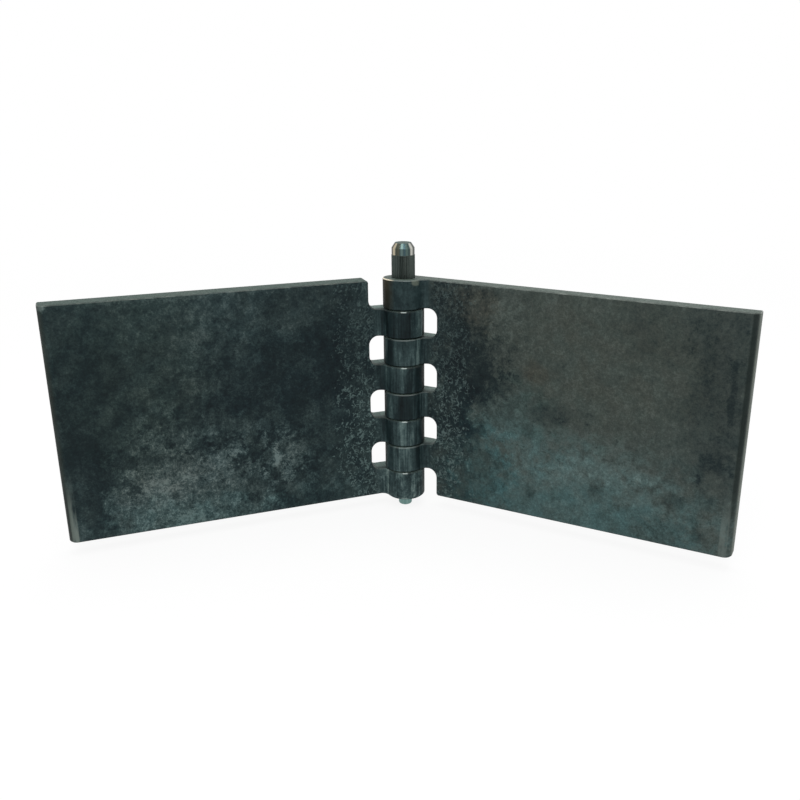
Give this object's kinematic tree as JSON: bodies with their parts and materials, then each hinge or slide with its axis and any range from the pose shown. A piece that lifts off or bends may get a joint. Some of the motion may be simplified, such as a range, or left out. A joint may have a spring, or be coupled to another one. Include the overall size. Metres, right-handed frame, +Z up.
{
  "type": "butt hinge",
  "caption": "Heavy blank butt hinge for welding: plain drawn-steel leaves with interleaved knuckles, turning on a loose-ended pin with a knurled head and a slimmer nose.",
  "frame": {"origin": "middle of the right leaf's weld face, halfway between the window ends and the outer edge and at mid height", "axes": "+X along the right leaf away from the pin, +Y out of its weld face, +Z up along the pin"},
  "size_m": [0.2507, 0.1172, 0.122],
  "materials": {
    "right_leaf": "black mill scale",
    "left_leaf": "black mill scale",
    "hinge_pin": "bare turned steel"
  },
  "bodies": {
    "fixed_leaf": {"right_leaf": "right_leaf", "hinge_pin": "hinge_pin"},
    "swinging_leaf": {"left_leaf": "left_leaf"}
  },
  "joints": [
    {"name": "leaf_swing", "type": "hinge", "parent": "fixed_leaf", "child": "swinging_leaf", "pos_m": [-0.0813, -0.009, 0], "axis": [0, 0, 1], "range_deg": [-138.6, 131.4]}
  ]
}
